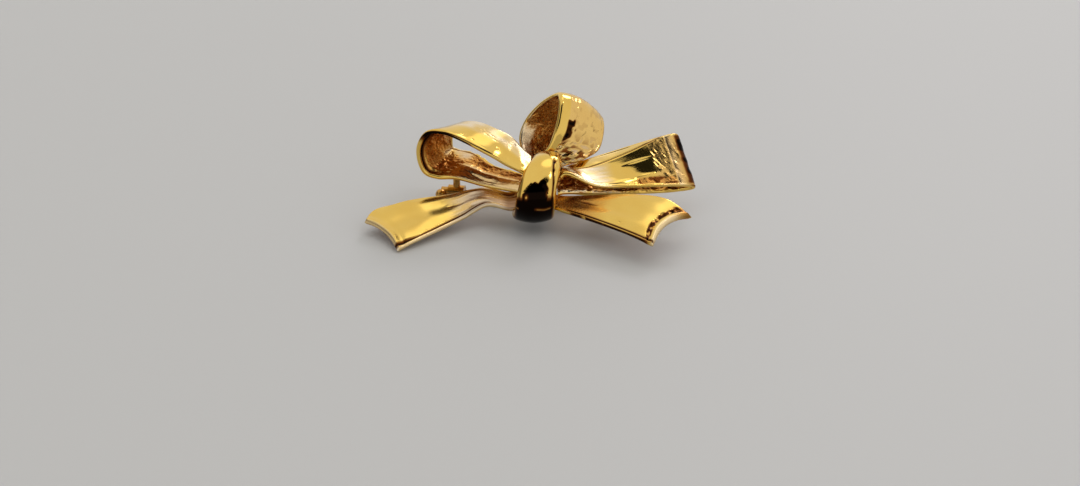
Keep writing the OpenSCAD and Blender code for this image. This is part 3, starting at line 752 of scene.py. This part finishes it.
# %% Right loop
def right_loop_relief(p):
    inside, outside = step(-p.side, 0.3, 0.95), step(p.side, 0.3, 0.95)
    front = step(p.x, 0.1, 0.5)
    within = step(p.edge, 0.3, 0.8)
    top = step(p.s, 6.9, 7.5)
    crease_at = -0.35 - 0.041 * (43.1 - p.along)
    past_crease = np.clip((crease_at - p.x) / (1 + crease_at), 0, 1)
    crease = -0.09 * band(p.x, crease_at, 0.03) * between(p.along, 29.5, 46, 3)
    tipped = -0.3 * past_crease * top * between(p.along, 28, 47, 3)
    wrinkled = between(p.along, 24.8, 30.6, 1.4)
    torn = step(p.x, 0.5, 0.66) * between(p.along, 27.5, 34.5, 1.2) * within
    fold = between(p.along, 19.5, 25.6, 1.6)
    slant = p.along + 0.6 * p.across
    wrinkles = 0.05 * ridges(slant / 0.8, p.across / 2.4, 41) \
        + 0.03 * bumps(slant / 0.35, p.across / 0.8, 43)
    lumps = 0.07 * bumps(p.along / 1.5, p.across / 1.3, 44) \
        + 0.02 * bumps(p.along / 0.6, p.across / 0.6, 46)
    roll = 0.05 * bumps(p.along / 4.5, p.across / 2.4, 45) + 0.02 * bumps(slant / 1.8, p.across / 1.2, 48)
    streaks = dents(p, [(32.4, 2.0, -0.09, 1.7, 0.22, 0.06), (33.4, -0.9, -0.08, 2.4, 0.2, 0.13),
                        (29.6, 1.3, -0.16, 0.5, 0.5, 0), (37.0, 2.6, -0.05, 1.6, 0.25, 0.1)])
    torn_relief = torn * (1.2 * mould_relief(p.along, p.across, 52) - 0.12)
    edge_line = -0.04 * band(p.edge, 0.62, 0.13) * front
    root_low = step(p.x, 0.2, 0.8) * between(p.along, 3.5, 9, 3)
    pebbles = 2.0 * mould_relief(p.along, p.across, 47) + 0.12 * bumps(p.along / 0.9, p.across / 0.8, 53)
    height = outside * (crease + tipped + roll + streaks + torn_relief + edge_line
                        + within * (wrinkled * (wrinkles - 0.05) + fold * lumps) + 0.3 * root_low) \
        + inside * (pebbles * step(p.edge, 0.1, 0.4) - 0.05)
    spots = step(bumps(p.along / 1.3, p.across / 1.1, 49), -0.1, 0.45)
    blots = step(bumps(p.along / 0.8, p.across / 0.7, 50), -0.2, 0.3)
    roots = 1 - step(np.minimum(p.along, p.length - p.along), 3.0, 6.0)
    dull = np.maximum(0.3 * wrinkled, np.maximum(0.9 * torn, 0.25 * fold))
    mould = np.maximum(inside * within, outside * within * dull)
    border = between(p.along, 22.8, 25.4, 0.7) * between(p.x, -0.9, 0.85, 0.1)
    slit = inside * step(p.x, -0.3, 0.3) * (1 - step(p.along, 9, 13))
    # The crease along the far side is painted as a dark line of shade
    brown_and_painted_dark = inside * within * (0.3 * spots + 0.1 * roots) * (1 - 0.7 * slit) \
        + outside * (fold * (0.12 + 0.4 * spots) + 0.7 * border
                     + torn * (0.1 + 0.55 * blots) + 0.6 * band(p.x, crease_at, 0.02) * top)
    # Painted highlight: the smooth top near the knot is painted pale
    painted_root_highlight = between(p.along, 39.5, 46, 3) * step(p.x, crease_at - 0.05, crease_at + 0.2) \
        * (0.65 + 0.35 * bumps(p.along / 2.5, p.across / 0.35, 54))
    # Painted light: the strip beyond the crease and the wrinkles are painted paler
    painted_pale_strip = 0.35 * past_crease * top + 0.12 * wrinkled
    # The lumps in the slit are painted paler as light
    return height, mould, brown_and_painted_dark, outside * (painted_root_highlight + painted_pale_strip) + slit * (0.7 - 0.5 * blots)


right_loop = skin("right_loop_skin", right_loop_rows, -1, right_loop_relief)
dress(right_loop, "right_loop", gold)

# %% [markdown]
# ## Back loop
#
# The third loop stands up behind the knot and leans back. Its near layer was worked in the wax: fine
# crinkles and dimples cover it, and they grow into lumps towards the knot, whose tops are painted pale as
# glints. A dark jagged patch on the near layer is a painted reflection. A smooth band runs along the mouth
# of the loop. Inside it is as rough and brown as the first, with the brown painted deeper towards the front
# edge as shade, and its far layer and left side painted paler as light.


# %% Back loop
def back_loop_relief(p):
    inside, outside = step(-p.side, 0.3, 0.95), step(p.side, 0.3, 0.95)
    within = step(p.edge, 0.3, 0.8)
    band_edge = -0.62 + 0.05 * bumps(p.along / 0.9, p.x, 60)
    worked = step(p.x - band_edge, 0, 0.05) * (1 - step(p.s, 5.4, 6.2))
    slant = p.along - 0.5 * p.across
    crinkles = 0.035 * ridges(slant / 0.75, p.across / 0.5, 61) \
        + 0.018 * bumps(p.along / 0.35, p.across / 0.35, 63)
    swell = 0.04 * bumps(slant / 2.4, p.across / 1.3, 62)
    lumps = 0.13 * bumps(p.along / 0.8, p.across / 0.8, 64) \
        * (1 - step(p.along, 4, 7.5)) * step(p.x, -0.5, 0)
    marks = dents(p, [
        (9.3, -2.2, -0.10, 0.8, 0.7, 0), (8.1, -2.4, 0.14, 0.7, 0.6, 0.3),
        (6.1, -1.9, -0.13, 0.16, 1.6, 0), (5.5, -2.0, 0.11, 0.25, 1.6, 0),
        (9.2, 0.9, 0.11, 0.5, 0.16, 0.6), (10.4, 2.6, 0.09, 0.4, 0.16, 0.6),
        (12.6, -1.9, 0.09, 0.7, 0.14, 0.2), (11.2, -1.5, 0.08, 0.6, 0.14, 0.2),
        (13.8, -2.4, 0.10, 0.3, 0.2, 0)])
    smooth = 0.02 * bumps(p.along / 5, p.across / 3, 65)
    foot = 0.45 * step(p.x, 0.8, 1) * band(p.along, 4, 2)
    far = step(p.s, 6.6, 7.4) * step(-p.x, 0.2, 0.5)
    turned = 0.2 * step(-p.x, 0.55, 0.95) * (1 - step(p.along, 7, 11))
    height = outside * (smooth + turned + within * worked * (crinkles + swell + lumps + marks - 0.06)) \
        + inside * within * (1.2 * mould_relief(p.along, p.across, 67) - 0.1) * (1 - 0.9 * far) + foot
    roots = 1 - step(np.minimum(p.along, p.length - p.along), 2.5, 5)
    patches = 0.5 + 0.5 * bumps(p.along / 1.8, p.across / 1.5, 69)
    mould = np.maximum(inside * within * (1 - 0.8 * far), 0.2 * outside * worked)
    low = 1 - step(p.along, 5, 10)
    grains = bumps(p.along / 0.7, p.across / 0.6, 68)
    # Painted reflection: a dark jagged patch on the near layer
    painted_dark_patch = step(band(p.along, 8.4, 2.4) * band(p.across + 2.9, 0, 1.4) + 0.25 * grains, 0.35, 0.5)
    shade = 0.55 * step(p.x, -0.7, 0.3)
    brown_and_painted_dark = inside * within * (shade * patches - 0.05 - 0.4 * far) \
        + outside * worked * (0.5 * low * step(-grains, 0, 0.5) + 0.1 * step(grains, 0, 0.4) + 0.9 * painted_dark_patch)
    # Painted light: the far layer and the left side inside are painted paler
    lit = inside * np.maximum(0.7 * far, 0.35 * (1 - step(p.x, -0.4, 0.5)))
    # The tops of the lumps near the knot are painted pale as glints
    return height, mould, brown_and_painted_dark, lit + outside * worked * (0.15 + 0.5 * low * step(grains, 0.2, 0.6))


back_loop = skin("back_loop_skin", back_loop_rows, 1, back_loop_relief)
dress(back_loop, "back_loop", gold)

# %% [markdown]
# ## Tails
#
# Both tails widen from the knot to an end that is cut hollow, with a rounded lip. The left one lies with
# its tip on the table. A bead runs along its front edge, painted pale as a highlight, with a groove behind
# it painted dark as shade, and a few creases spread like a bird's foot where it bends. Its cut end and the
# streaks at its root are painted pale as highlights. A broad soft ridge turns its middle a little towards
# the front. The right one floats above the table. Long soft folds fan out from its root, and a rough brown
# groove runs inside its thick lip, whose cut face is painted pale as a highlight. The groove along its
# front edge and its root are painted darker as shade, its far corner, which curls down, is painted brown as
# a reflection, and a ragged dark line under its front edge is painted as a dark reflection and shade.


# %% Left tail
def left_tail_relief(p):
    top, below = step(p.side, 0.3, 0.95), step(-p.side, 0.3, 0.95)
    front, far = step(p.x, 0, 0.3), step(-p.x, 0, 0.4)
    within = step(p.edge, 0.3, 1.0)
    corner = step(p.along, 23, 27)
    groove = band(p.edge, 0.55 + 0.25 * corner, 0.11 + 0.24 * corner) * front * step(p.along, 6, 9)
    soft = 0.85 * band(p.x, -0.45, 1.0) * between(p.along, 9, 23, 6)
    feet = dents(p, [
        (16.3, -1.0, 0.04, 0.8, 0.1, 0.28), (15.6, -0.3, 0.04, 0.6, 0.1, 0.32),
        (15.4, 0.45, 0.05, 0.5, 0.1, 0.1), (13.4, 0.55, 0.03, 1.1, 0.12, 0.02),
        (13.8, -1.7, 0.03, 1.2, 0.2, 0.15), (21.6, 4.3, 0.06, 0.2, 0.15, 0)])
    early = 1 - step(p.along, 10, 17)
    streaks = 0.04 * bumps(p.along / 4.0, p.across / 0.5, 70) * early * within
    roll = 0.035 * bumps(p.along / 4.0, p.across / 3.0, 71) \
        + 0.012 * bumps(p.along / 1.6, p.across / 1.3, 72)
    lip = 0.2 * band(p.left, 0.3, 0.55) - 0.08 * band(p.left, 1.5, 0.5)
    height = top * (-0.3 * groove + within * (soft + feet + streaks + roll) + lip * step(p.edge, 0, 0.6)) \
        + below * within * (mould_relief(p.along, p.across, 73) - 0.08)
    # Darker and duller on the far side where the tail bends
    far_brown_patch = far * between(p.along, 8.5, 14.5, 3) * step(-p.x, 0.2, 0.9) * top
    roots = 1 - step(p.along, 3, 5)
    lines = step(bumps(p.along / 3.0, p.across / 0.4, 74), 0.05, 0.5)
    # Painted highlights: the bead along the front edge and the cut face of the end are painted pale
    bead_highlight = front * (1 - step(p.edge, 0.2, 0.4)) * (1 - below)
    lip_face_highlight = 1 - step(p.left, 0.15, 0.5)
    # The groove behind the bead is painted dark as shade
    brown_and_painted_dark = 0.3 * below * within + 0.3 * roots + top * (groove + 0.3 * far_brown_patch + 0.25 * lines * early * far)
    # The pale streaks at the root are painted highlights
    pale_and_highlight = top * early * (0.9 - 0.5 * lines) * step(p.x, -0.9, -0.3) + 0.45 * bead_highlight + 0.4 * lip_face_highlight
    return height, below * within + 0.3 * far_brown_patch + 0.25 * top * early, brown_and_painted_dark, np.clip(pale_and_highlight, 0, 1)


left_cut = TAIL_CUT / LEFT_TAIL_SIZE[0] * (len(left_tail_rows) - 1)
left_tail = skin("left_tail_skin", left_tail_rows, -1, left_tail_relief, left_cut, LEFT_LIP)
dress(left_tail, "left_tail", satin_gold)


# %% Right tail
def right_tail_relief(p):
    top, below = step(p.side, 0.3, 0.95), step(-p.side, 0.3, 0.95)
    front, far = step(p.x, 0, 0.3), step(-p.x, 0.3, 0.9)
    within = step(p.edge, 0.3, 1.0)
    narrow = 0.75 + 0.15 * bumps(p.across / 1.1, 0 * p.x, 85)
    inner = between(p.left, 1.0, 1.0 + narrow, 0.25) * between(p.x, -0.82, 0.93, 0.12)
    fan = 0.04 * np.cos(2 * np.pi * (p.x * 1.6 + 0.1)) * between(p.along, 10, 18, 5)
    roll = 0.03 * bumps(p.along / 4.5, p.across / 2.5, 81) \
        + 0.012 * bumps(p.along / 2.2, p.across / 1.2, 82)
    lip = 0.2 * band(p.left, 0.3, 0.6)
    groove = band(p.edge, 0.45, 0.15) * front * between(p.along, 3, 23, 2)
    scars = dents(p, [
        (7.4, -0.6, 0.13, 1.4, 0.25, 0.22), (9.6, 0.1, -0.05, 0.6, 0.15, 0.2),
        (15.6, 3.3, 0.14, 0.3, 0.13, -0.1), (21.4, -4.2, 0.15, 0.24, 0.22, 0),
        (20.9, -4.5, 0.07, 0.12, 0.12, 0)])
    floor = -0.2 + 0.16 * bumps(p.along / 0.4, p.across / 0.45, 84)
    height = top * (within * (fan + roll + scars) + inner * floor - 0.22 * groove
                    + lip * step(p.edge, 0, 0.6)) \
        + below * within * (mould_relief(p.along, p.across, 83) - 0.08)
    roots = 1 - step(p.along, 6, 13)
    # Painted reflection: the far corner of the end, which curls down, is painted brown
    painted_corner_reflection = far * (1 - step(p.left, 1.2, 2.6))
    crease = band(p.along, 7.4, 1.5) * band(p.across + 0.6 - 0.22 * (p.along - 7.4), 0, 0.3)
    patchy = step(bumps(p.along / 0.4, p.across / 0.45, 86), -0.3, 0.2)
    # Painted dark reflection and shade: a ragged dark line under the front edge
    painted_dark_under_edge = front * (1 - step(p.edge, 0.35, 0.5)) * (1 - step(p.side, 0.5, 0.85)) \
        * between(p.along, 4, 22, 1.5)
    pit = band(p.along, 21.4, 0.3) * band(p.across, -4.2, 0.3)
    # The groove along the front edge is painted dark as shade, and the root a little darker as shade
    brown_and_painted_dark = 0.3 * below * within \
        + top * (0.08 * roots + inner * (0.08 + 0.8 * patchy) + groove
                 + 0.4 * painted_corner_reflection + 0.45 * crease + 0.6 * pit) \
        + 0.95 * painted_dark_under_edge * step(bumps(p.along / 0.9, 0 * p.x, 87), -0.95, -0.75)
    # Painted highlight: the cut face of the lip is painted pale
    lip_highlight = 1 - step(p.left, 0.3, 0.9)
    return height, below * within + top * (0.4 * inner + 0.8 * roots), brown_and_painted_dark, 0.5 * lip_highlight * (1 - far)


right_cut = TAIL_CUT / RIGHT_TAIL_SIZE[0] * (len(right_tail_rows) - 1)
right_tail = skin("right_tail_skin", right_tail_rows, 1, right_tail_relief, right_cut, RIGHT_LIP)
dress(right_tail, "right_tail", satin_gold)

# %% [markdown]
# ## Knot
#
# The knot is a domed band folded round the roots of the ribbons. It is the smoothest part, polished by
# every sleeve it has brushed. A groove runs beside its right edge, so that the edge reads as a double
# rim, with two pits near its top. The groove and a line by the left edge are painted dark as shade, and the
# top is painted pale as a highlight. Low down the colour is painted near-black up to a ragged top, a
# painted dark reflection and shade. A thin broken seam and two bright flecks are left out of it.


# %% Knot
def knot_relief(p):
    outside, inside = step(p.side, 0.3, 0.95), step(-p.side, 0.3, 0.95)
    right = step(p.x, 0, 0.3)
    within = step(p.edge, 0.3, 0.9)
    line = 1.2 - 0.55 * step(p.along, 3.5, 8)
    groove = band(p.edge, line, 0.16) * right * between(p.along, 2.6, 10.5, 1.5)
    left_line = band(p.edge, 0.45, 0.12) * step(-p.x, 0, 0.3) * between(p.along, 1.5, 9, 2)
    roll = 0.03 * bumps(p.along / 4, p.across / 3, 91) + 0.012 * bumps(p.along / 1.3, p.across / 1.1, 92)
    scars = dents(p, [
        (3.0, 1.95, 0.18, 0.26, 0.22, 0), (4.7, 2.2, 0.12, 0.2, 0.16, 0),
        (9.1, -1.9, -0.06, 0.16, 0.16, 0), (8.6, 2.1, -0.09, 0.3, 0.24, 0)])
    seam_at = 10.6 + 0.15 * bumps(p.across / 1.5, p.x, 94)
    seam_shows = step(bumps(p.across / 0.8, 0 * p.x, 95), -0.1, 0.3)
    seam_line = seam_shows * band(p.along, seam_at, 0.13)
    seam = 0.09 * seam_line
    height = outside * (-0.2 * groove - 0.05 * left_line + (roll + scars + seam) * within) \
        + inside * within * mould_relief(p.along, p.across, 93)
    pits = band(p.along, 3.0, 0.3) * band(p.across, 1.95, 0.25) \
        + band(p.along, 4.7, 0.25) * band(p.across, 2.2, 0.2)
    # Painted dark reflection and shade: low on the knot the colour is painted near-black, up to a ragged
    # top
    ragged = p.along + 0.5 * bumps(p.across / 0.6, p.along / 1.2, 96) \
        - 2.2 * (p.x + 0.02) ** 2 + 0.9 * band(p.x, 0.27, 0.25)
    painted_dark_front = step(ragged, 7.0, 7.15) * between(p.x, -0.72, 0.58, 0.1)
    # The two flecks and the seam are kept out of the painted dark, so that bumps there can glint
    flecks = band(p.along, 9.0, 0.25) * band(p.across, -1.75, 0.22) \
        + band(p.along, 8.5, 0.3) * band(p.across, 2.0, 0.25)
    painted_dark_reflection = np.maximum(painted_dark_front, step(p.along, 8.6, 9.6)) * (1 - flecks - 0.8 * seam_line)
    painted_dark_reflection = painted_dark_reflection * (1 - right * step(p.x, 0.8, 0.95))
    # The groove by the right edge and the line by the left edge are painted dark as shade
    brown_and_painted_dark = 0.85 * groove + 0.25 * left_line + 0.8 * pits + painted_dark_reflection
    # Painted highlight: the top of the knot is painted pale
    rubbed_and_highlight = 0.5 * outside * (1 - step(p.along, 0.4, 2.2))
    return height, inside * within, outside * brown_and_painted_dark + 0.5 * inside, rubbed_and_highlight


knot = skin("knot_skin", knot_rows, -1, knot_relief)
dress(knot, "knot", gold)

# %% [markdown]
# ## Pin and catch
#
# The catch and the pin are turned and bent from wire and tube, so their solids are already right: round
# tubes with a slot, a sleeve and a ball. They only need a finish. Handling has dulled them, and they are
# browner than the bow.

# %% Finish the pin and the catch
for name in ("catch_barrel", "pin", "catch_roller"):
    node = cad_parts[name]
    node.data.materials.clear()
    node.data.materials.append(worn_gold)
print("solids kept:", ", ".join(n for n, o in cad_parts.items() if not o.hide_render))
